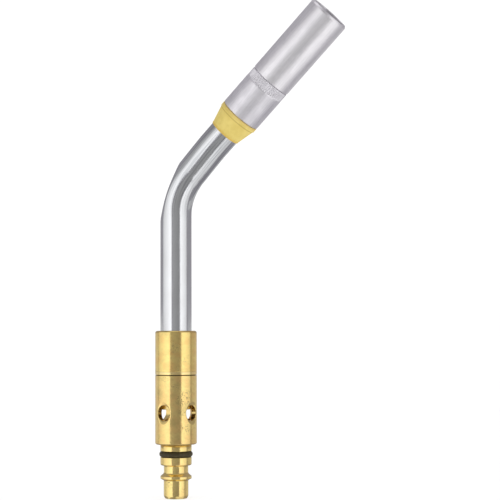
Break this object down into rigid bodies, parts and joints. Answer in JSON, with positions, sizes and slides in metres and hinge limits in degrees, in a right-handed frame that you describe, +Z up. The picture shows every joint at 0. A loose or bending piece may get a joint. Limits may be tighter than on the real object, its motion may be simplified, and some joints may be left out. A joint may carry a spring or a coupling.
{
  "type": "air-fuel torch tip",
  "caption": "Bent-neck air-fuel torch tip: quick-connect brass stem with O-ring, air barrel with round ports, stainless neck and swirl burner tube.",
  "frame": {"origin": "on the stem's axis at the lower end of the quick-connect nose, the mouth of the gas inlet", "axes": "+Z up the stem towards the bend, +X the way the burner head leans, Y across the bend's plane"},
  "size_m": [0.0608, 0.013, 0.1488],
  "materials": {
    "stem_brass": "bright turned brass",
    "seal_rubber": "matte black nitrile",
    "filter_bronze": "porous sintered bronze",
    "spring_steel": "plain spring steel",
    "washer_copper": "annealed copper",
    "jet_brass": "turned brass",
    "barrel_brass": "satin brass with light heat tarnish",
    "venturi_brass": "turned brass",
    "collar_brass": "satin brass",
    "polished_stainless": "polished stainless steel",
    "matte_yellow_brass": "matte yellow",
    "satin_steel": "satin, with a fine straight-knurled band",
    "flame_tube_steel": "satin",
    "rotor_steel": "as cast"
  },
  "bodies": {
    "connector": {"connector_stem": "stem_brass", "o_ring": "seal_rubber", "inlet_filter": "filter_bronze", "filter_clip": "spring_steel", "jet_washer": "washer_copper", "orifice_jet": "jet_brass", "air_barrel": "barrel_brass"},
    "throat": {"venturi": "venturi_brass"},
    "neck": {"tube_collar": "collar_brass", "neck_tube": "polished_stainless", "cone_adapter": "matte_yellow_brass", "burner_sleeve": "satin_steel", "flame_tube": "flame_tube_steel", "swirl_rotor": "rotor_steel"}
  },
  "joints": [
    {"name": "collar_rise", "type": "slide", "parent": "connector", "child": "throat", "axis": [0, 0, 1], "range_m": [0, 0.00498]},
    {"name": "collar_unscrew", "type": "hinge", "parent": "throat", "child": "neck", "pos_m": [0, 0, 0.03725], "axis": [0, 0, 1], "range_deg": [0, 1980]}
  ],
  "couplings": [
    {"joint": "collar_unscrew", "follows": "collar_rise", "rad_per_m": 6926.2}
  ]
}
